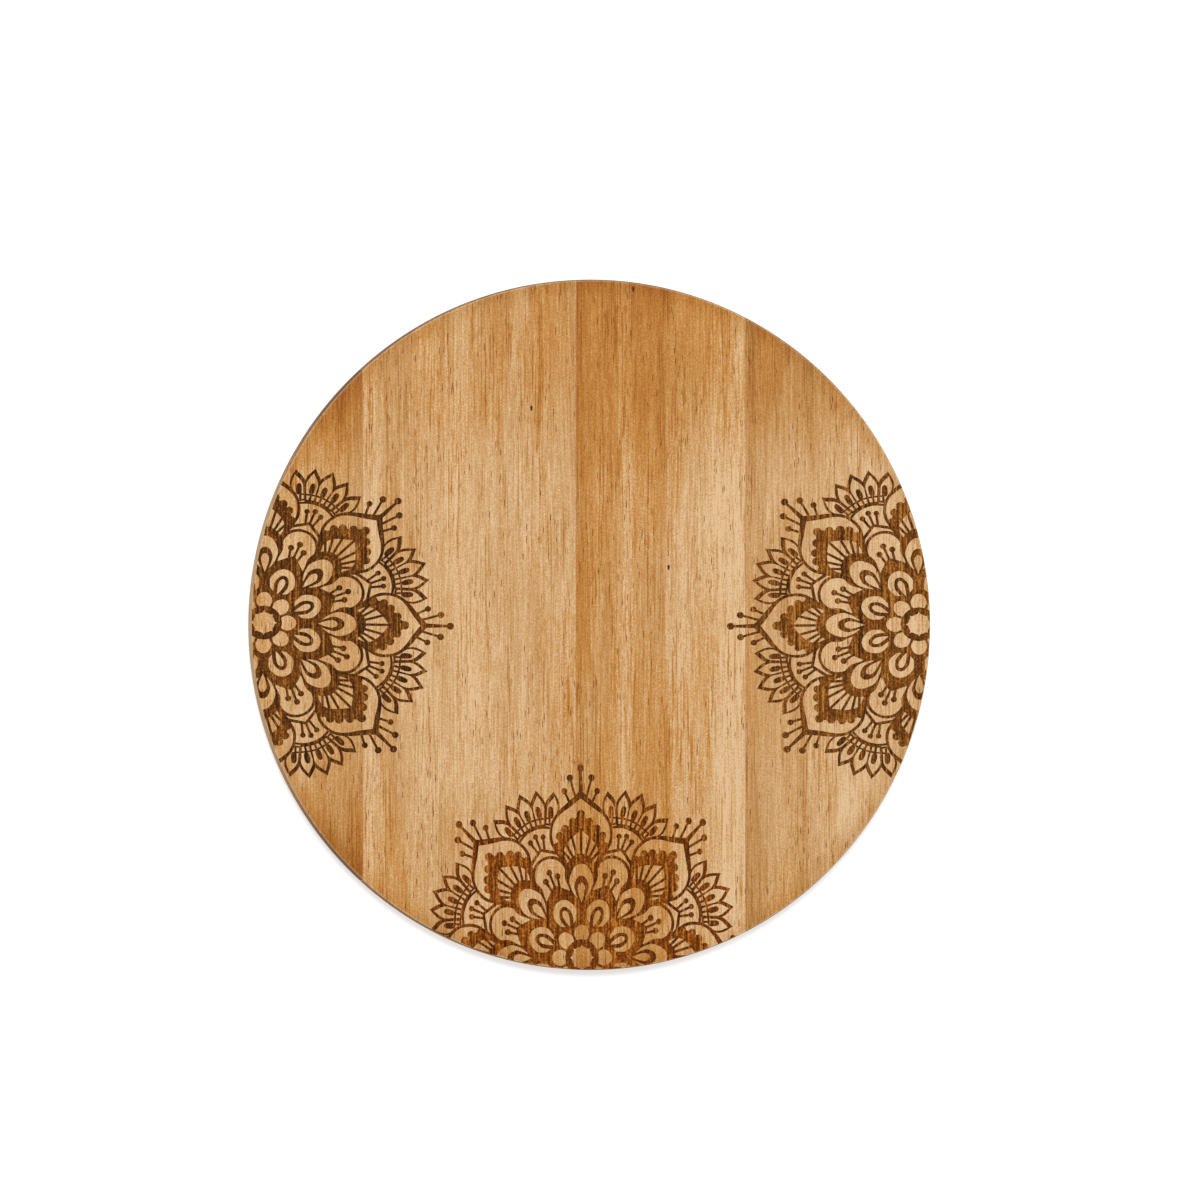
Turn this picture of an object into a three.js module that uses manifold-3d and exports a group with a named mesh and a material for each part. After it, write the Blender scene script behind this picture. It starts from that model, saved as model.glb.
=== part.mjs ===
// Round cutting board, glued up from four solid wood staves and cut to a disc.
// Millimetres. The board lies on its underside: the origin is the centre of that
// face, +Z points up through the cutting face, and the grain runs along Y.
import * as THREE from 'three';
import { mergeVertices } from 'three/addons/utils/BufferGeometryUtils.js';
import Module from 'manifold-3d';

const BOARD_DIAMETER = 300;
const BOARD_THICKNESS = 9;
// Radius of the rounding on the upper and lower edges of the rim
const EDGE_RADIUS = 1.2;

// Where the middle of each glue line crosses the X axis
const LEFT_SEAM_X = -101;
const MIDDLE_SEAM_X = -7;
const RIGHT_SEAM_X = 68;
const GLUE_THICKNESS = 0.2;

// Flat steps round the rim, and steps in each half of an edge rounding
const RIM_STEPS = 144;
const EDGE_STEPS = 2;

const wasm = await Module();
wasm.setup();

// A closed three.js geometry as a solid that can be cut
function toSolid(geometry) {
  geometry.deleteAttribute('normal');
  geometry.deleteAttribute('uv');
  const merged = mergeVertices(geometry);
  const corners = merged.index.array;
  const triangles = [];
  for (let i = 0; i < corners.length; i += 3) {
    const [a, b, c] = corners.slice(i, i + 3);
    const isFlat = a === b || b === c || c === a;
    if (!isFlat) triangles.push(a, b, c);
  }
  return new wasm.Manifold(new wasm.Mesh({
    numProp: 3,
    vertProperties: new Float32Array(merged.attributes.position.array),
    triVerts: new Uint32Array(triangles),
  }));
}

// A cut solid as a three.js geometry again
function toGeometry(solid) {
  const mesh = solid.getMesh();
  const geometry = new THREE.BufferGeometry();
  geometry.setAttribute('position', new THREE.BufferAttribute(mesh.vertProperties, 3));
  geometry.setIndex(new THREE.BufferAttribute(mesh.triVerts, 1));
  geometry.computeVertexNormals();
  return geometry;
}

// The whole glued-up disc, with both edges of its rim rounded
function makeDisc() {
  const radius = BOARD_DIAMETER / 2;
  const flatRadius = radius - EDGE_RADIUS;
  const upperCentre = BOARD_THICKNESS - EDGE_RADIUS;
  const profile = new THREE.Path();
  profile.moveTo(0, 0);
  profile.lineTo(flatRadius, 0);
  profile.absarc(flatRadius, EDGE_RADIUS, EDGE_RADIUS, -Math.PI / 2, 0);
  profile.lineTo(radius, upperCentre);
  profile.absarc(flatRadius, upperCentre, EDGE_RADIUS, 0, Math.PI / 2);
  profile.lineTo(0, BOARD_THICKNESS);
  const geometry = new THREE.LatheGeometry(profile.getPoints(EDGE_STEPS), RIM_STEPS);
  geometry.rotateX(Math.PI / 2);
  return toSolid(geometry);
}

// The slice of the disc between two upright planes across X. The slab that cuts it
// stands out past the disc all round.
function sliceDisc(disc, fromX, toX) {
  const reach = BOARD_DIAMETER;
  const outline = new THREE.Shape();
  outline.moveTo(fromX, -reach);
  outline.lineTo(toX, -reach);
  outline.lineTo(toX, reach);
  outline.lineTo(fromX, reach);
  const depth = 3 * BOARD_THICKNESS;
  const slab = new THREE.ExtrudeGeometry(outline, { depth, bevelEnabled: false });
  slab.translate(0, 0, -BOARD_THICKNESS);
  return disc.intersect(toSolid(slab));
}

const board = new THREE.Group();
board.name = 'round_cutting_board';
const disc = makeDisc();

function addSlice(name, fromX, toX, material) {
  const mesh = new THREE.Mesh(toGeometry(sliceDisc(disc, fromX, toX)), material);
  mesh.name = name;
  board.add(mesh);
}

function oiledWood(colour) {
  return new THREE.MeshStandardMaterial({ color: colour, roughness: 0.55, metalness: 0 });
}

function driedGlue(colour) {
  return new THREE.MeshStandardMaterial({ color: colour, roughness: 0.5, metalness: 0 });
}

// The staves run from one glue line to the next, and the outer ones to the rim
const beyondRim = BOARD_DIAMETER;
const halfGlue = GLUE_THICKNESS / 2;

addSlice('stave_left_edge', -beyondRim, LEFT_SEAM_X - halfGlue, oiledWood('#b9844b'));
addSlice('stave_left_middle', LEFT_SEAM_X + halfGlue, MIDDLE_SEAM_X - halfGlue, oiledWood('#cfa06a'));
addSlice('stave_right_middle', MIDDLE_SEAM_X + halfGlue, RIGHT_SEAM_X - halfGlue, oiledWood('#cb9860'));
addSlice('stave_right_edge', RIGHT_SEAM_X + halfGlue, beyondRim, oiledWood('#c4925b'));

// A film of dried glue fills each joint from face to face
const SEAMS = { left: LEFT_SEAM_X, middle: MIDDLE_SEAM_X, right: RIGHT_SEAM_X };
for (const [side, seamX] of Object.entries(SEAMS)) {
  addSlice(`glue_line_${side}`, seamX - halfGlue, seamX + halfGlue, driedGlue('#a87440'));
}

export default board;
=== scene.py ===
from math import cos, radians, sin

import bmesh
import bpy
from mathutils import Matrix, Vector


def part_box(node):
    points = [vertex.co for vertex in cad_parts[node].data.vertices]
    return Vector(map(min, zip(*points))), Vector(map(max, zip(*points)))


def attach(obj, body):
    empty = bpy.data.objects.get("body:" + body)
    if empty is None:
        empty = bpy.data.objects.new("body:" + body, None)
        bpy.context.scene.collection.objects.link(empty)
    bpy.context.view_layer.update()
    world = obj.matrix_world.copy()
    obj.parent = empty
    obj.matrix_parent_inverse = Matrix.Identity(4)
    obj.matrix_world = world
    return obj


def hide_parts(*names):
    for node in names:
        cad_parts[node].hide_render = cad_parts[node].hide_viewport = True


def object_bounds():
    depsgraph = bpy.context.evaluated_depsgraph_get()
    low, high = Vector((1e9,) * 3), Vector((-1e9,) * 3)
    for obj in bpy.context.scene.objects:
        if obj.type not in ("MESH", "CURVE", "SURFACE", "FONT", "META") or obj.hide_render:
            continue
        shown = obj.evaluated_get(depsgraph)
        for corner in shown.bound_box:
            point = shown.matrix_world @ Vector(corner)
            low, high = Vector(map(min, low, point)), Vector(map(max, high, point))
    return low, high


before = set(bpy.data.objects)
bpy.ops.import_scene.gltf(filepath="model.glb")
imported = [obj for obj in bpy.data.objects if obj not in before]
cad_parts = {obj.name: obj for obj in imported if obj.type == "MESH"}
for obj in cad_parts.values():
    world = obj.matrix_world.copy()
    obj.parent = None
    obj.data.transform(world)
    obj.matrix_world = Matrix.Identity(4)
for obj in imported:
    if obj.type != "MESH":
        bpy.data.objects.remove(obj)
cad_low, cad_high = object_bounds()


# Burnt ornament
# A mandala is burnt into the upper face at the left, the right and the near edge of the board, and the rim
# cuts off about half of each. The heat chars the ground to a shallow pocket, and the petals are wood left
# standing. It is drawn here in millimetres, about its own centre, as the cutter that takes the char away.

# The lines are burnt a little deeper than the broad ground, which also makes them darker
LINE_DEPTH = 0.4
GROUND_DEPTH = 0.3
CUTTER_HEIGHT = 2.0
CURVE_STEPS = 5
SHARP = "sharp"
SIDES = (-1, 1)

# Bearings of the petals and of the bells between them. The outer motifs leave out those beyond the rim.
PETAL_AXES = (-90, -45, 0, 45, 90)
BELL_AXES = (-67.5, -22.5, 22.5, 67.5)
ALL_PETAL_AXES = range(0, 360, 45)
ALL_BELL_AXES = (22.5, 67.5, 112.5, 157.5, 202.5, 247.5, 292.5, 337.5)
CENTRE = (0,)


def add_object(name, data):
    added = bpy.data.objects.new(name, data)
    bpy.context.scene.collection.objects.link(added)
    return added


def boolean(target, tool, operation):
    """Joins the tool's mesh to the target's, or cuts it away, and leaves the result in the target."""
    modifier = target.modifiers.new(operation, "BOOLEAN")
    modifier.solver = "MANIFOLD"
    modifier.operation = operation
    modifier.object = tool
    evaluated = target.evaluated_get(bpy.context.evaluated_depsgraph_get())
    shaped = bpy.data.meshes.new_from_object(evaluated)
    target.modifiers.clear()
    target.data = shaped


def polar(radius, bearing):
    return Vector((radius * cos(radians(bearing)), radius * sin(radians(bearing))))


def mirrored(*points):
    """A closed outline from its upper half, run from tip to foot; SHARP marks a corner."""
    upper = [(Vector(point[:2]), SHARP in point) for point in points]
    lower = [(Vector((point.x, -point.y)), sharp) for point, sharp in reversed(upper) if point.y > 0]
    return upper + lower


def oval(centre, half_length, half_width, bearing=0.0):
    """An ellipse whose long axis points along the bearing."""
    ends = (polar(half_length, bearing), polar(half_width, bearing + 90))
    return [(centre + end, False) for end in (ends[0], ends[1], -ends[0], -ends[1])]


def bead(centre, radius):
    return oval(centre, radius, radius)


def stem(start, end, start_width, end_width):
    across = (end - start).orthogonal().normalized()
    corners = (start - across * start_width / 2, end - across * end_width / 2,
               end + across * end_width / 2, start + across * start_width / 2)
    return [(corner, True) for corner in corners]


def leaf(foot, tip, half_width):
    """A pointed leaf with a cut-off foot, widest past the middle of its length."""
    along = tip - foot
    across = along.orthogonal().normalized() * half_width
    side = ((0.62, 1.0, False), (0.3, 0.86, False), (0, 0.62, True))
    left = [(foot + along * length + across * width, sharp) for length, width, sharp in side]
    right = [(foot + along * length - across * width, sharp) for length, width, sharp in reversed(side)]
    return [(tip, True)] + left + right


def prisms(outlines, axes):
    """Upright prisms on the outlines, repeated round the ornament's centre at each axis."""
    curve = bpy.data.curves.new("outline", "CURVE")
    curve.dimensions = "2D"
    curve.fill_mode = "BOTH"
    curve.extrude = CUTTER_HEIGHT / 2
    curve.resolution_u = CURVE_STEPS
    for axis in axes:
        turn = Matrix.Rotation(radians(axis), 2)
        for outline in outlines:
            spline = curve.splines.new("BEZIER")
            spline.use_cyclic_u = True
            spline.bezier_points.add(len(outline) - 1)
            for knot, (point, sharp) in zip(spline.bezier_points, outline):
                knot.co = (turn @ point).to_3d()
                knot.handle_left_type = "VECTOR" if sharp else "AUTO"
                knot.handle_right_type = knot.handle_left_type
    drawing = add_object("outline", curve)
    mesh = bpy.data.meshes.new_from_object(drawing)
    bpy.data.objects.remove(drawing)
    bm = bmesh.new()
    bm.from_mesh(mesh)
    bmesh.ops.remove_doubles(bm, verts=bm.verts, dist=1e-4)
    bmesh.ops.recalc_face_normals(bm, faces=bm.faces)
    bm.to_mesh(mesh)
    bm.free()
    return mesh


mandala = add_object("mandala", bpy.data.meshes.new("mandala"))
stencil = add_object("stencil", bpy.data.meshes.new("stencil"))


def burn(outlines, axes, depth=LINE_DEPTH):
    """Burns the outlines at each axis; an outline that lies inside another is left out of it."""
    stencil.data = prisms(outlines, axes)
    stencil.data.transform(Matrix.Translation((0, 0, CUTTER_HEIGHT / 2 - depth)))
    boolean(mandala, stencil, "UNION")


def spare(outlines, axes):
    """Leaves the wood inside the outlines standing, with a taller stencil that cuts right through."""
    stencil.data = prisms(outlines, axes)
    stencil.data.transform(Matrix.Scale(2, 4, (0, 0, 1)))
    boolean(mandala, stencil, "DIFFERENCE")


STAMEN_WIDTH = 1.05


def burn_stamens(foot, reach, side_foot, side_reach, head, axes):
    """Three beaded stems: one on the axis, and one to either side given by radius and bearing."""
    side_stems = []
    side_beads = []
    for side in SIDES:
        start = polar(side_foot[0], side * side_foot[1])
        end = polar(side_reach[0], side * side_reach[1])
        side_stems.append(stem(start, end, STAMEN_WIDTH, STAMEN_WIDTH))
        side_beads.append(bead(end, head))
    burn([stem(polar(foot, 0), polar(reach, 0), STAMEN_WIDTH, STAMEN_WIDTH)], axes)
    burn(side_stems, axes)
    burn([bead(polar(reach, 0), head)], axes)
    burn(side_beads, axes)


# Fans of five leaves, each with an outline that is thickest at its tip, and with a seed inside
LEAF_LINE = 1.0
LEAF_TIP_LINE = 2.2
LEAF_FOOT_LINE = 0.85
LEAVES = (  # foot radius and bearing, tip radius and bearing, half width
    (54.7, 8.0, 67.8, 12.4, 3.22),
    (54.7, -8.0, 67.8, -12.4, 3.22),
    (55.5, 4.0, 70.1, 6.0, 3.30),
    (55.5, -4.0, 70.1, -6.0, 3.30),
    (55.9, 0.0, 71.2, 0.0, 3.56),
)
for foot, foot_bearing, tip, tip_bearing, half_width in LEAVES:
    burn([leaf(polar(foot, foot_bearing), polar(tip, tip_bearing), half_width)], BELL_AXES)
for foot, foot_bearing, tip, tip_bearing, half_width in LEAVES:
    inner_foot = polar(foot + LEAF_FOOT_LINE, foot_bearing)
    inner_tip = polar(tip - LEAF_TIP_LINE, tip_bearing)
    spare([leaf(inner_foot, inner_tip, half_width - LEAF_LINE)], BELL_AXES)
SEED_HALF_LENGTH = 2.5
SEED_HALF_WIDTH = 1.18
SEED_LEAN = 1.9
SEEDS = ((61.4, 0.0), (61.2, 4.7), (61.2, -4.7), (59.8, 9.7), (59.8, -9.7))
burn([oval(polar(radius, bearing), SEED_HALF_LENGTH, SEED_HALF_WIDTH, bearing * SEED_LEAN)
      for radius, bearing in SEEDS], BELL_AXES)

# Each fan stands on a ladder of short ticks under a thin arc
TICK_FOOT = 55.5
TICK_HEAD = 60.0
TICK_WIDTH = 0.95
TICKS = ((0.0, 0.0), (4.05, 4.45), (-4.05, -4.45), (8.1, 9.0), (-8.1, -9.0))
burn([stem(polar(TICK_FOOT, low), polar(TICK_HEAD, high), TICK_WIDTH, TICK_WIDTH) for low, high in TICKS],
     BELL_AXES)
LADDER_TOP = (((57.1, -10.1), True), ((59.4, 0.0), False), ((57.1, 10.1), True),
              ((56.4, 9.9), True), ((58.6, 0.0), False), ((56.4, -9.9), True))
burn([[(Vector(point), sharp) for point, sharp in LADDER_TOP]], BELL_AXES)

# Below each fan, a domed room with three stamens on a roof-shaped bracket
burn([mirrored((56.2, 0), (53.7, 7.7), (50.0, 11.4), (42.4, 11.4, SHARP))], BELL_AXES)
spare([mirrored((55.1, 0), (52.9, 7.1), (49.5, 10.4), (42.0, 10.4, SHARP))], BELL_AXES)
burn([mirrored((47.5, 0, SHARP), (43.7, 6.2, SHARP), (38.1, 8.5, SHARP))], BELL_AXES)
spare([mirrored((46.1, 0, SHARP), (42.5, 5.6, SHARP), (37.3, 7.9, SHARP))], BELL_AXES)
burn_stamens(46.6, 52.5, (46.2, 2.0), (51.3, 3.4), 1.15, BELL_AXES)

# Large pointed petals, each with a scalloped band round a ribbed fan
burn([mirrored((67.4, 0, SHARP), (64.4, 3.2), (62.3, 5.8), (58.8, 9.9), (55.2, 12.7), (51.0, 13.9),
               (46.6, 13.7), (42.4, 11.4), (36.4, 6.8, SHARP))], PETAL_AXES)
spare([mirrored((63.9, 0, SHARP), (61.9, 2.7), (60.4, 4.8), (57.7, 8.8), (54.6, 11.6), (50.9, 12.7),
                (46.9, 12.4), (42.8, 10.5), (35.6, 5.9, SHARP))], PETAL_AXES)
burn([mirrored((57.4, 0), (54.5, 3.7), (51.5, 7.1), (48.8, 9.45), (44.3, 10.85), (39.8, 9.3),
               (36.4, 5.9, SHARP))], PETAL_AXES, GROUND_DEPTH)
SCALLOPS = ((54.5, 3.9, 1.75), (52.0, 7.8, 1.8), (49.7, 11.0, 1.7), (45.6, 13.3, 1.85))
burn([bead(polar(57.5, 0), 1.8)], PETAL_AXES, GROUND_DEPTH)
for radius, bearing, size in SCALLOPS:
    burn([bead(polar(radius, side * bearing), size) for side in SIDES], PETAL_AXES, GROUND_DEPTH)
spare([mirrored((51.3, 0, SHARP), (45.9, 6.1), (42.9, 7.5), (39.8, 7.0), (35.6, 4.2, SHARP))], PETAL_AXES)
RIB_FOCUS = Vector((34.3, 0))
RIB_START = 5.1
RIB_WIDTH = 1.1
RIBS = ((0, 17.8), (16, 15.3), (-16, 15.3), (31, 14.0), (-31, 14.0), (44, 12.7), (-44, 12.7))
for bearing, reach in RIBS:
    start = RIB_FOCUS + polar(RIB_START, bearing)
    burn([stem(start, RIB_FOCUS + polar(reach, bearing), RIB_WIDTH, RIB_WIDTH)], PETAL_AXES)

# Five beaded stems at the tip of each petal
TIP_STEM_FOOT = 1.1
TIP_STEM_TOP = 0.95
MIDDLE_STEM_FOOT = 2.1
middle_bead = polar(76.1, 0)
burn([stem(polar(64.8, 0), middle_bead, MIDDLE_STEM_FOOT, TIP_STEM_TOP)], PETAL_AXES)
burn([bead(middle_bead, 1.5)], PETAL_AXES)
TIP_STEMS = (  # foot radius and bearing, bead radius and bearing, bead size
    (64.4, 2.2, 72.3, 3.8, 1.42),
    (61.5, 4.2, 67.2, 6.2, 1.27),
)
for foot, foot_bearing, reach, bearing, size in TIP_STEMS:
    burn([stem(polar(foot, side * foot_bearing), polar(reach, side * bearing), TIP_STEM_FOOT, TIP_STEM_TOP)
          for side in SIDES], PETAL_AXES)
    burn([bead(polar(reach, side * bearing), size) for side in SIDES], PETAL_AXES)

# Bells between the petals, then the dark ground of the middle with a halo behind each drop
burn([mirrored((43.5, 0), (41.1, 6.0), (36.4, 8.3), (29.7, 8.5), (24.6, 5.9, SHARP))], BELL_AXES)
spare([mirrored((42.35, 0), (41.2, 3.8), (39.2, 5.8), (36.2, 6.8), (32.0, 6.4), (24.6, 5.1, SHARP))],
      BELL_AXES)
GROUND = ((24.6, 0.0, False), (26.9, 9.5, False), (29.6, 17.6, False), (31.5, 22.5, True),
          (29.6, 27.4, False), (26.9, 35.5, False))
ground = [(polar(radius, axis + bearing), sharp)
          for axis in ALL_PETAL_AXES for radius, bearing, sharp in GROUND]
burn([ground], CENTRE, GROUND_DEPTH)
burn([mirrored((41.7, 0), (39.0, 5.3), (33.1, 7.4), (27.3, 5.2), (21.2, 3.6), (17.0, 5.9, SHARP))],
     PETAL_AXES, GROUND_DEPTH)
spare([mirrored((37.7, 0), (32.2, 5.05), (27.2, 4.2), (24.0, 2.1, SHARP))], PETAL_AXES)
spare([mirrored((24.2, 1.8, SHARP), (22.0, 0, SHARP))], PETAL_AXES)
burn([mirrored((32.9, 0), (29.3, 3.05), (26.0, 2.5), (24.1, 1.75), (21.0, 1.0, SHARP)),
      mirrored((30.1, 0), (28.7, 1.45), (26.2, 1.4), (22.0, 0, SHARP))], PETAL_AXES)
burn_stamens(29.7, 36.9, (28.8, 3.3), (34.3, 4.7), 1.28, BELL_AXES)

# Loops, then the ring of beads and the star in the very middle
spare([mirrored((24.8, 0), (19.7, 5.15), (15.1, 3.8, SHARP), (14.2, 2.1, SHARP), (12.5, 0, SHARP))],
      ALL_BELL_AXES)
burn([mirrored((22.0, 0), (18.8, 2.75), (14.5, 2.1), (12.6, 1.4, SHARP)),
      mirrored((20.4, 0), (19.4, 1.1), (16.8, 1.1), (13.3, 0, SHARP))], ALL_BELL_AXES)
spare([mirrored((13.25, 0), (10.1, 3.2), (6.6, 2.1, SHARP))], ALL_PETAL_AXES)
STAR = ((5.4, 0.0, True), (4.5, 7.0, False), (4.4, 22.5, False), (4.5, 38.0, False))
star = [(polar(radius, axis + bearing), sharp)
        for axis in ALL_PETAL_AXES for radius, bearing, sharp in STAR]
spare([star], CENTRE)
burn([bead(polar(0, 0), 7.4), star], CENTRE)

# The three places: the ornament's centre on the face, the bearing from there to the middle of the board,
# and how far it is drawn out along that bearing
PLACES = ((-144.5, 1.0, -1.1, 1.079), (144.8, 0.2, 180.6, 1.097), (-4.4, -144.6, 90.4, 1.083))
board_top = cad_high.z * 1000
bm = bmesh.new()
for x, y, bearing, drawn_out in PLACES:
    copy = mandala.data.copy()
    copy.transform(Matrix.Translation((x, y, board_top))
                   @ Matrix.Rotation(radians(bearing), 4, "Z")
                   @ Matrix.Scale(drawn_out, 4, (1, 0, 0)))
    bm.from_mesh(copy)
bm.to_mesh(mandala.data)
bm.free()


# Staves
# Four boards of solid wood, planed and glued edge to edge with the grain running up the face. The panel
# is then cut to a disc, the edges of its rim are eased, and the faces are sanded and oiled. The ornament
# is burnt in last.

RIM_SEGMENTS = 360
EDGE_RADIUS = 1.2
EDGE_SEGMENTS = 4
SMOOTH_BELOW = radians(40)
LEVEL_ABOVE = 0.999
board_radius = cad_high.x * 1000

# Each piece has its own wood in the first material slot and the char in the second
CHAR_SLOT = 1
mandala.data.polygons.foreach_set("material_index", [CHAR_SLOT] * len(mandala.data.polygons))


def srgb(red, green, blue):
    """A colour as it looks on screen, from 0 to 255, made the linear colour that a shader takes."""
    shares = [level / 255 for level in (red, green, blue)]
    linear = [s / 12.92 if s <= 0.04045 else ((s + 0.055) / 1.055) ** 2.4 for s in shares]
    return (*linear, 1.0)


def add_node(tree, kind, settings, inputs):
    """A shader node with its settings; each input is a plain value, or an output that is linked to it."""
    node = tree.nodes.new("ShaderNode" + kind)
    for name, value in settings.items():
        setattr(node, name, value)
    for name, value in inputs.items():
        if isinstance(value, bpy.types.NodeSocket):
            tree.links.new(value, node.inputs[name])
        else:
            node.inputs[name].default_value = value
    return node


def calculate(tree, operation, first, second):
    return add_node(tree, "Math", {"operation": operation}, {0: first, 1: second}).outputs[0]


def weigh(tree, base, *terms):
    """The base value plus each (output, weight), where an output of one half adds nothing."""
    total = base
    for output, weight in terms:
        centred = calculate(tree, "SUBTRACT", output, 0.5)
        scaled = calculate(tree, "MULTIPLY", centred, weight)
        total = calculate(tree, "ADD", total, scaled)
    return total


def fade(tree, value, start, end, low=0.0, high=1.0):
    """A value that goes smoothly from low to high as the input goes from start to end."""
    ends = {"Value": value, "From Min": start, "From Max": end, "To Min": low, "To Max": high}
    return add_node(tree, "MapRange", {"interpolation_type": "SMOOTHSTEP"}, ends).outputs["Result"]


def add_ramp(tree, factor, stops):
    """A colour ramp through (place, colour) stops; a plain number is a grey."""
    node = add_node(tree, "ValToRGB", {}, {"Fac": factor})
    ramp = node.color_ramp
    while len(ramp.elements) < len(stops):
        ramp.elements.new(1.0)
    for element, (place, colour) in zip(ramp.elements, stops):
        element.position = place
        element.color = colour if isinstance(colour, tuple) else (colour, colour, colour, 1.0)
    return node.outputs["Color"]


def mix_colours(tree, share, first, second):
    """The first colour, giving way to the second as the share goes from 0 to 1."""
    mix = add_node(tree, "Mix", {"data_type": "RGBA"}, {0: share, 6: first, 7: second})
    return mix.outputs[2]


def in_cells(tree, place, size_mm):
    """The place counted in cells of this size across the grain, along it and through the board."""
    size = [length / 1000 for length in size_mm]
    scaled = add_node(tree, "Mapping", {"vector_type": "TEXTURE"}, {"Vector": place, "Scale": size})
    return scaled.outputs[0]


def streaks(tree, place, size_mm, detail=0.0):
    """Noise whose blotches have this size."""
    cells = in_cells(tree, place, size_mm)
    return add_node(tree, "TexNoise", {}, {"Vector": cells, "Scale": 1.0, "Detail": detail}).outputs["Fac"]


def dashes(tree, place, size_mm, start, end):
    """Short lines along the grain, one in each cell of this size, that thicken from start to end."""
    cells = in_cells(tree, place, size_mm)
    nearest = add_node(tree, "TexVoronoi", {}, {"Vector": cells, "Scale": 1.0})
    return fade(tree, nearest.outputs["Distance"], start, end)


def new_group(name, inputs, outputs):
    """An empty shader node group with these named sockets, and its two end nodes."""
    group = bpy.data.node_groups.new(name, "ShaderNodeTree")
    for socket, kind in inputs.items():
        group.interface.new_socket(socket, in_out="INPUT", socket_type=kind)
    for socket, kind in outputs.items():
        group.interface.new_socket(socket, in_out="OUTPUT", socket_type=kind)
    return group, group.nodes.new("NodeGroupInput"), group.nodes.new("NodeGroupOutput")


# The grain of one log, drawn out along Y: soft bands of tone, fine fibres with darker threads and flecks
# in bundles, and open pores in zones
THREAD_DEPTH = 0.3
FLECK_DEPTH = 0.42
grain, given, made = new_group("wood_grain", {"Place": "NodeSocketVector"}, {
    "Figure": "NodeSocketFloat", "Fibres": "NodeSocketFloat", "Pores": "NodeSocketFloat"})
place = given.outputs["Place"]
figure = weigh(grain, 0.0, (streaks(grain, place, (20, 110, 20)), 0.17),
               (streaks(grain, place, (7, 60, 7)), 0.14),
               (streaks(grain, place, (2.5, 120, 20), detail=1.0), 0.18))
fine = weigh(grain, 0.0, (streaks(grain, place, (0.65, 26, 0.65)), 0.45),
             (streaks(grain, place, (0.6, 6, 0.6)), 0.3),
             (streaks(grain, place, (0.5, 0.7, 0.5)), 0.6))
threads = fade(grain, streaks(grain, place, (0.7, 30, 0.7)), 0.58, 0.68, 0.0, THREAD_DEPTH)
flecks = calculate(grain, "MULTIPLY", dashes(grain, place, (0.9, 9, 0.9), 0.26, 0.14), FLECK_DEPTH)
bundles = fade(grain, streaks(grain, place, (6, 50, 6)), 0.36, 0.62)
dark_lines = calculate(grain, "MULTIPLY", calculate(grain, "ADD", threads, flecks), bundles)
fibres = calculate(grain, "SUBTRACT", fine, dark_lines)
open_zones = fade(grain, streaks(grain, place, (9, 40, 9)), 0.40, 0.56)
pores = calculate(grain, "MULTIPLY", dashes(grain, place, (1.1, 11, 1.1), 0.19, 0.12), open_zones)
grain.links.new(figure, made.inputs["Figure"])
grain.links.new(fibres, made.inputs["Fibres"])
grain.links.new(pores, made.inputs["Pores"])

# The oiled surface: colours from dark to pale, in a plain and a warmer run, a little darker near the rim.
# Painted highlight on the eased edge; on the side of the rim the end grain drinks the oil and is dark.
PLAIN = ((0.0, srgb(148, 90, 36)), (0.4, srgb(182, 130, 70)), (0.65, srgb(199, 152, 98)),
         (0.85, srgb(212, 171, 123)), (1.0, srgb(226, 191, 147)))
WARM = ((0.0, srgb(148, 82, 22)), (0.4, srgb(181, 117, 47)), (0.65, srgb(199, 143, 77)),
        (0.85, srgb(212, 170, 120)), (1.0, srgb(226, 190, 146)))
# The colours of the painted highlight on the eased edge
EDGE_HIGHLIGHT = ((0.2, srgb(190, 152, 106)), (0.9, srgb(236, 210, 172)))
LONG_SIDE = ((0.2, srgb(156, 116, 70)), (0.9, srgb(212, 174, 126)))
END_SIDE = ((0.2, srgb(98, 58, 20)), (0.9, srgb(166, 114, 56)))
PORE_COLOUR = srgb(120, 62, 10)
RIM_DARKENS_FROM = 0.140
RIM_DARKENING = 0.18
EDGE_HIGHLIGHT_SHARE = 0.6
WARM_PATCHES = 1.6
oiled, given, made = new_group("oiled_wood", {
    "Place": "NodeSocketVector", "Tone": "NodeSocketFloat", "Warmth": "NodeSocketFloat"}, {
    "Color": "NodeSocketColor", "Height": "NodeSocketFloat"})
place = given.outputs["Place"]
log = add_node(oiled, "Group", {"node_tree": grain}, {"Place": place}).outputs
at = add_node(oiled, "TexCoord", {}, {}).outputs
outward = add_node(oiled, "VectorMath", {"operation": "MULTIPLY"}, {0: at["Object"], 1: (1, 1, 0)})
radius = add_node(oiled, "VectorMath", {"operation": "LENGTH"}, {0: outward.outputs[0]}).outputs["Value"]
rim = fade(oiled, radius, RIM_DARKENS_FROM, cad_high.x, 0.0, RIM_DARKENING)
paleness = calculate(oiled, "ADD", log["Figure"], log["Fibres"])
paleness = calculate(oiled, "ADD", given.outputs["Tone"], paleness)
paleness = calculate(oiled, "SUBTRACT", paleness, rim)
warmth = weigh(oiled, given.outputs["Warmth"], (streaks(oiled, place, (14, 70, 14)), WARM_PATCHES))
warmth = fade(oiled, warmth, 0.0, 1.0)
plain = add_ramp(oiled, paleness, PLAIN)
face_colour = mix_colours(oiled, warmth, plain, add_ramp(oiled, paleness, WARM))
face_colour = mix_colours(oiled, log["Pores"], face_colour, PORE_COLOUR)
facing = add_node(oiled, "SeparateXYZ", {}, {"Vector": at["Normal"]}).outputs
level = calculate(oiled, "ABSOLUTE", facing["Z"], 0.0)
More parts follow.
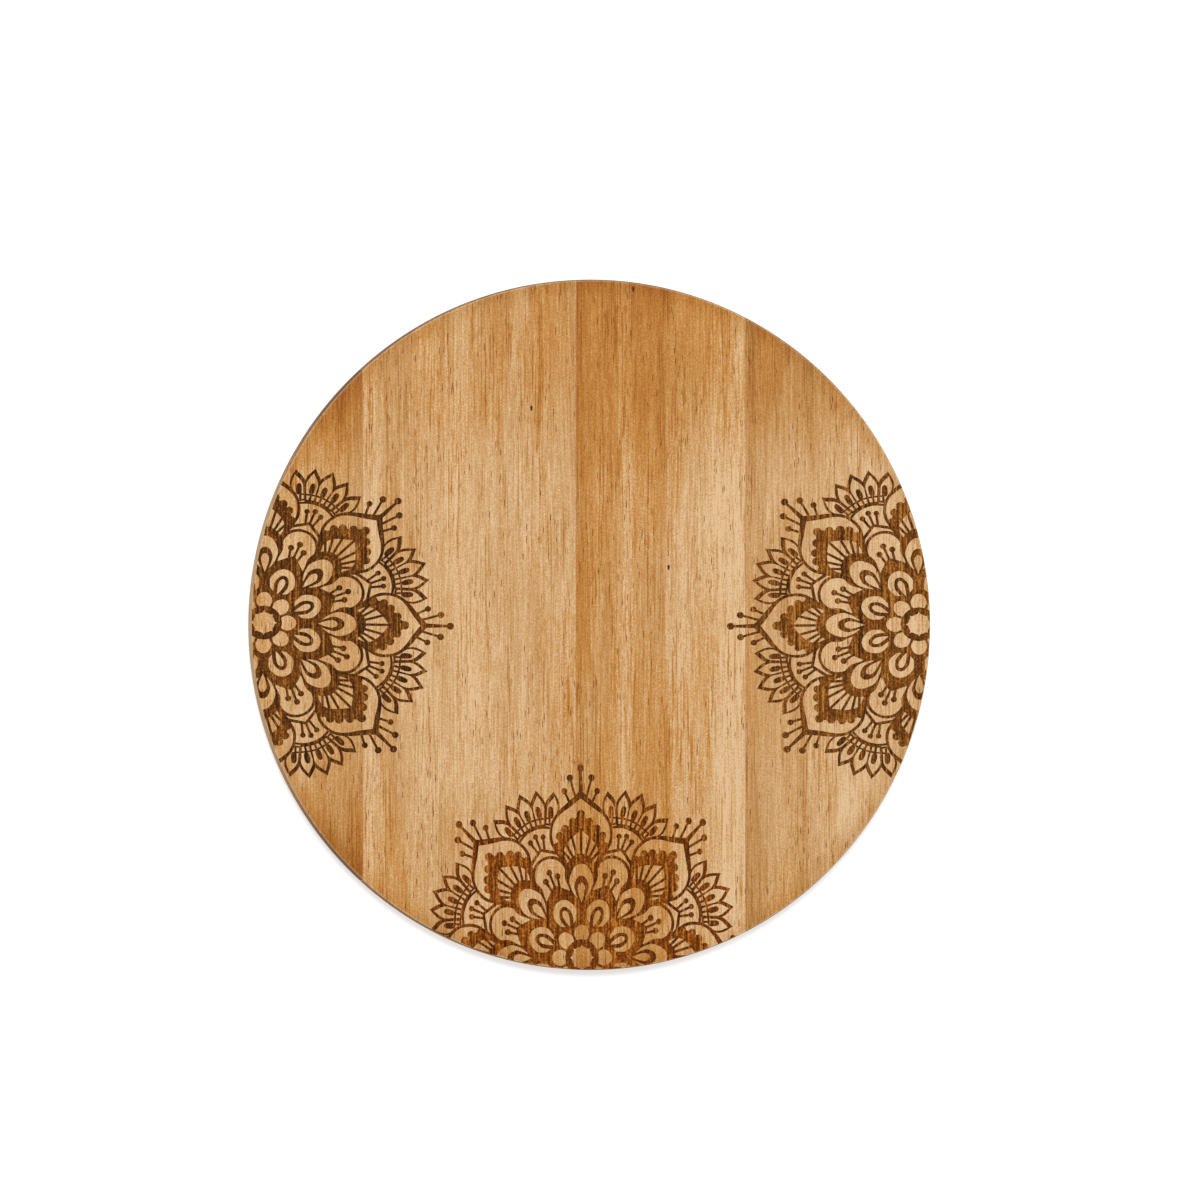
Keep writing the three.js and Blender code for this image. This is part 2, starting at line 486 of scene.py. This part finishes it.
# Painted highlight: the faces of the eased edge are painted paler, as where they would catch the light
eased = fade(oiled, level, 0.99, 0.88, 0.0, EDGE_HIGHLIGHT_SHARE)
face_colour = mix_colours(oiled, eased, face_colour, add_ramp(oiled, paleness, EDGE_HIGHLIGHT))
end_grain = fade(oiled, calculate(oiled, "ABSOLUTE", facing["Y"], 0.0), 0.25, 0.65)
long_side = add_ramp(oiled, paleness, LONG_SIDE)
side_colour = mix_colours(oiled, end_grain, long_side, add_ramp(oiled, paleness, END_SIDE))
on_side = fade(oiled, level, 0.85, 0.35)
oiled.links.new(mix_colours(oiled, on_side, face_colour, side_colour), made.inputs["Color"])
oiled.links.new(log["Fibres"], made.inputs["Height"])


def new_material(name):
    material = bpy.data.materials.new(name)
    material.use_nodes = True
    material.node_tree.nodes.clear()
    return material, material.node_tree


def add_surface(tree, colour, height, relief_mm, roughness, specular):
    """The shader of a dull surface with this colour and relief, joined to the material's output."""
    bump = add_node(tree, "Bump", {}, {"Strength": 1.0, "Distance": relief_mm / 1000, "Height": height})
    shader = add_node(tree, "BsdfPrincipled", {}, {"Base Color": colour, "Roughness": roughness,
                                                   "Specular IOR Level": specular,
                                                   "Normal": bump.outputs[0]})
    add_node(tree, "OutputMaterial", {}, {"Surface": shader.outputs[0]})


# How far the tones of a stave sway from side to side, where it darkens towards its ends, and how much
# warmer it is there; then the colour of a pin knot and its half sizes across and along the grain
SWAY = 0.008
ENDS_FROM = 0.055
ENDS_TO = 0.105
ENDS_WARMER = 1.6
KNOT_COLOUR = srgb(72, 30, 2)
PIN_KNOT = (0.0007, 0.0016, 1.0)


def stave_wood(name, tones, far_end, near_end, warmth, log_place, ring_slant, pin_knots=()):
    """Oiled wood for one stave, from its own place in a log: its tones from left to right at (x, paleness),
    how much darker it is towards its far and near ends, and its pin knots at (x, y), in millimetres."""
    material, tree = new_material(name)
    at = add_node(tree, "TexCoord", {}, {}).outputs["Object"]
    in_log = add_node(tree, "Mapping", {}, {"Vector": at, "Location": log_place,
                                            "Rotation": (0, radians(ring_slant), 0)}).outputs[0]
    split = add_node(tree, "SeparateXYZ", {}, {"Vector": at}).outputs
    swayed = weigh(tree, split["X"], (streaks(tree, in_log, (60, 90, 60)), SWAY))
    first, last = tones[0][0], tones[-1][0]
    across = {"Value": swayed, "From Min": first / 1000, "From Max": last / 1000}
    share = add_node(tree, "MapRange", {}, across).outputs[0]
    tone = add_ramp(tree, share, [((x - first) / (last - first), paleness) for x, paleness in tones])
    darker = calculate(tree, "ADD", fade(tree, split["Y"], ENDS_FROM, ENDS_TO, 0.0, far_end),
                       fade(tree, split["Y"], -ENDS_FROM, -ENDS_TO, 0.0, near_end))
    tone = calculate(tree, "SUBTRACT", tone, darker)
    warmer = add_node(tree, "Math", {"operation": "MULTIPLY_ADD"}, {0: darker, 1: ENDS_WARMER, 2: warmth})
    values = {"Place": in_log, "Tone": tone, "Warmth": warmer.outputs[0]}
    wood = add_node(tree, "Group", {"node_tree": oiled}, values).outputs
    colour = wood["Color"]
    for x, y in pin_knots:
        off = add_node(tree, "Mapping", {"vector_type": "TEXTURE"},
                       {"Vector": at, "Location": (x / 1000, y / 1000, 0), "Scale": PIN_KNOT}).outputs[0]
        away = add_node(tree, "VectorMath", {"operation": "LENGTH"}, {0: off}).outputs["Value"]
        colour = mix_colours(tree, fade(tree, away, 1.0, 0.5), colour, KNOT_COLOUR)
    add_surface(tree, colour, wood["Height"], relief_mm=0.06, roughness=0.55, specular=0.1)
    return material


# Charred wood on the floor and walls of the pockets, streaked where hard and soft grain burnt differently.
# The left ornament is burnt darkest, the near one is redder, and the lines are darker than the ground.
CHARRED = ((0.0, srgb(43, 23, 6)), (0.35, srgb(85, 47, 13)), (0.65, srgb(127, 73, 20)),
           (1.0, srgb(185, 122, 54)))
REDDER = ((0.0, srgb(46, 21, 2)), (0.35, srgb(90, 42, 4)), (0.65, srgb(133, 68, 9)),
          (1.0, srgb(191, 120, 44)))
LEFT_LIGHTNESS = 0.47
OTHER_LIGHTNESS = 0.60
LINES_DARKER = 0.12
UNBURNT_LIGHTER = 0.3
line_floor = cad_high.z - LINE_DEPTH / 1000
ground_floor = cad_high.z - GROUND_DEPTH / 1000
charred, tree = new_material("charred_wood")
at = add_node(tree, "TexCoord", {}, {}).outputs["Object"]
log = add_node(tree, "Group", {"node_tree": grain}, {"Place": at}).outputs
split = add_node(tree, "SeparateXYZ", {}, {"Vector": at}).outputs
lightness = fade(tree, split["X"], -0.085, -0.06, LEFT_LIGHTNESS, OTHER_LIGHTNESS)
deeper = fade(tree, split["Z"], line_floor, ground_floor, LINES_DARKER, 0.0)
lightness = calculate(tree, "SUBTRACT", lightness, deeper)
lightness = weigh(tree, lightness, (streaks(tree, at, (2.2, 50, 6), detail=1.0), 0.18),
                  (streaks(tree, at, (0.7, 9, 2)), 0.5),
                  (streaks(tree, at, (0.6, 1.0, 0.6)), 0.6))
unburnt = fade(tree, streaks(tree, at, (0.8, 14, 2)), 0.58, 0.72, 0.0, UNBURNT_LIGHTER)
lightness = calculate(tree, "ADD", calculate(tree, "ADD", lightness, log["Fibres"]), unburnt)
near_edge = fade(tree, split["Y"], -0.065, -0.085)
char_colour = add_ramp(tree, lightness, CHARRED)
char_colour = mix_colours(tree, near_edge, char_colour, add_ramp(tree, lightness, REDDER))
add_surface(tree, char_colour, log["Fibres"], relief_mm=0.1, roughness=0.85, specular=0.1)


def disc_slice(name, cuts):
    """The part of the eased disc on the kept side of each cut, given as (x, keeps the right side)."""
    bm = bmesh.new()
    bmesh.ops.create_circle(bm, cap_ends=True, radius=board_radius, segments=RIM_SEGMENTS)
    raised = bmesh.ops.extrude_face_region(bm, geom=bm.faces[:])["geom"]
    upper = [part for part in raised if isinstance(part, bmesh.types.BMVert)]
    bmesh.ops.translate(bm, verts=upper, vec=(0, 0, board_top))
    bmesh.ops.recalc_face_normals(bm, faces=bm.faces)
    rims = [edge for edge in bm.edges if edge.verts[0].co.z == edge.verts[1].co.z]
    bmesh.ops.bevel(bm, geom=rims, offset=EDGE_RADIUS, affect="EDGES", segments=EDGE_SEGMENTS,
                    profile=0.5, material=-1)
    for x, keeps_right in cuts:
        everything = bm.verts[:] + bm.edges[:] + bm.faces[:]
        cut = bmesh.ops.bisect_plane(bm, geom=everything, plane_co=(x, 0, 0), plane_no=(1, 0, 0),
                                     clear_inner=keeps_right, clear_outer=not keeps_right)["geom_cut"]
        bmesh.ops.holes_fill(bm, edges=[edge for edge in cut if isinstance(edge, bmesh.types.BMEdge)])
    bmesh.ops.recalc_face_normals(bm, faces=bm.faces)
    mesh = bpy.data.meshes.new(name)
    bm.to_mesh(mesh)
    bm.free()
    return mesh


def add_slice(name, node, wood):
    """One piece of the glued-up panel in place of its CAD node, burnt out where the ornament crosses it."""
    low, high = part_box(node)
    cuts = []
    if low.x > cad_low.x:
        cuts.append((low.x * 1000, True))
    if high.x < cad_high.x:
        cuts.append((high.x * 1000, False))
    piece = add_object(name, disc_slice(name, cuts))
    piece.data.materials.append(wood)
    piece.data.materials.append(charred)
    boolean(piece, mandala, "DIFFERENCE")
    mesh = piece.data
    mesh.transform(Matrix.Scale(0.001, 4))
    for face in mesh.polygons:
        face.use_smooth = abs(face.normal.z) < LEVEL_ABOVE
    mesh.set_sharp_from_angle(angle=SMOOTH_BELOW)
    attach(piece, "root")
    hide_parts(node)


def add_stave(name, **look):
    add_slice(name + "_stave", "stave_" + name, stave_wood("oiled_" + name, **look))


add_stave("left_edge", far_end=0.27, near_end=0.30, warmth=0.4, log_place=(0.3, 0.1, 0.05), ring_slant=35,
          tones=((-150, 0.80), (-135, 0.83), (-122, 0.79), (-115, 0.76), (-109, 0.69), (-101, 0.62)))
add_stave("left_middle", far_end=0.15, near_end=0.05, warmth=0.32, log_place=(1.1, 0.7, 0.2),
          ring_slant=-50, pin_knots=((-26.7, 94.1),),
          tones=((-101, 0.88), (-96, 0.84), (-88, 0.71), (-76, 0.84), (-64, 0.79), (-56, 0.88), (-45, 0.81),
                 (-38, 0.76), (-31, 0.82), (-18, 0.75), (-7, 0.74)))
add_stave("right_middle", far_end=0.20, near_end=0.01, warmth=0.7, log_place=(2.3, 1.9, 0.3),
          ring_slant=62, pin_knots=((18.3, 145.9), (33.9, 25.0)),
          tones=((-7, 0.52), (-3, 0.60), (9, 0.66), (12, 0.80), (15, 0.76), (18, 0.62), (24, 0.61),
                 (28, 0.66), (31, 0.57), (33, 0.74), (40, 0.84), (47, 0.80), (58, 0.95), (68, 0.98)))
add_stave("right_edge", far_end=0.26, near_end=0.07, warmth=0.2, log_place=(3.7, 2.2, 0.4), ring_slant=-30,
          tones=((68, 0.62), (69, 0.55), (71, 0.67), (73, 0.60), (76, 0.73), (81, 0.76), (88, 0.77),
                 (92, 0.78), (94, 0.68), (97, 0.82), (104, 0.86), (115, 0.91), (150, 0.90)))


# Glue lines
# A film of wood glue between each pair of staves, squeezed thin by the clamps and planed flush with the
# faces. It dries to a clear amber brown, and the ornament is burnt across it.

AMBER = ((0.3, srgb(150, 98, 48)), (0.7, srgb(186, 132, 76)))
glue, tree = new_material("dried_glue")
at = add_node(tree, "TexCoord", {}, {}).outputs["Object"]
pooling = streaks(tree, at, (3, 14, 5))
add_surface(tree, add_ramp(tree, pooling, AMBER), pooling, relief_mm=0.02, roughness=0.4, specular=0.4)
for side in ("left", "middle", "right"):
    add_slice(side + "_glue_film", "glue_line_" + side, glue)

# The cutters have done their work
for cutter in (mandala, stencil):
    bpy.data.objects.remove(cutter)


# Floor, light and camera
# The board lies on a plain white floor. A large soft lamp hangs high above, beyond its far edge and a little
# to the left, and an even light comes from all round. The camera looks down on the face through a long
# lens, leaning a little to the left.

FLOOR_SIZE = 6.0
FLOOR_BELOW = 0.0002
FLOOR_PAINT = (0.85, 0.85, 0.85, 1)
FLOOR_GLOW = 0.42


def background_rays(tree):
    """One for rays that show the background: from the camera, or seen in gloss or through glass."""
    path = add_node(tree, "LightPath", {}, {}).outputs
    seen = calculate(tree, "MAXIMUM", path["Is Camera Ray"], path["Is Glossy Ray"])
    return calculate(tree, "MAXIMUM", seen, path["Is Transmission Ray"])


white, tree = new_material("white_floor")
paint = add_node(tree, "BsdfDiffuse", {}, {"Color": FLOOR_PAINT})
strength = calculate(tree, "MULTIPLY", background_rays(tree), FLOOR_GLOW)
glow = add_node(tree, "Emission", {}, {"Strength": strength})
both = add_node(tree, "AddShader", {}, {0: paint.outputs[0], 1: glow.outputs[0]})
add_node(tree, "OutputMaterial", {}, {"Surface": both.outputs[0]})
bm = bmesh.new()
bmesh.ops.create_grid(bm, size=FLOOR_SIZE)
bmesh.ops.translate(bm, verts=bm.verts, vec=(0, 0, -FLOOR_BELOW))
floor_mesh = bpy.data.meshes.new("floor")
bm.to_mesh(floor_mesh)
bm.free()
floor_mesh.materials.append(white)
add_object("floor", floor_mesh)

scene = bpy.context.scene
scene.view_settings.view_transform = "Standard"

ROOM_LEVEL = 0.6
world = bpy.data.worlds.new("studio")
world.use_nodes = True
scene.world = world
tree = world.node_tree
tree.nodes.clear()
levels = {"Value": background_rays(tree), "To Min": ROOM_LEVEL, "To Max": 1.0}
strength = add_node(tree, "MapRange", {}, levels).outputs[0]
room = add_node(tree, "Background", {}, {"Color": (1, 1, 1, 1), "Strength": strength})
add_node(tree, "OutputWorld", {}, {"Surface": room.outputs[0]})

LAMP_PLACE = Vector((-0.35, 1.4, 4.0))
LAMP_SIZE = 1.6
LAMP_POWER = 83
lamp = bpy.data.lights.new("key", "AREA")
lamp.shape = "DISK"
lamp.size = LAMP_SIZE
lamp.energy = LAMP_POWER
holder = add_object("key", lamp)
holder.location = LAMP_PLACE
holder.rotation_euler = (-LAMP_PLACE).to_track_quat("-Z", "Y").to_euler()

LENS = 701.6
SENSOR = 36
DISTANCE = 10.0
LEAN = 10.3
AIM = Vector((-0.0006, 0.0149, cad_high.z))
camera = bpy.data.cameras.new("camera")
camera.lens = LENS
camera.sensor_width = SENSOR
viewer = add_object("camera", camera)
viewer.rotation_euler = (0, -radians(LEAN), 0)
viewer.location = AIM + viewer.rotation_euler.to_matrix() @ Vector((0, 0, DISTANCE))
scene.camera = viewer
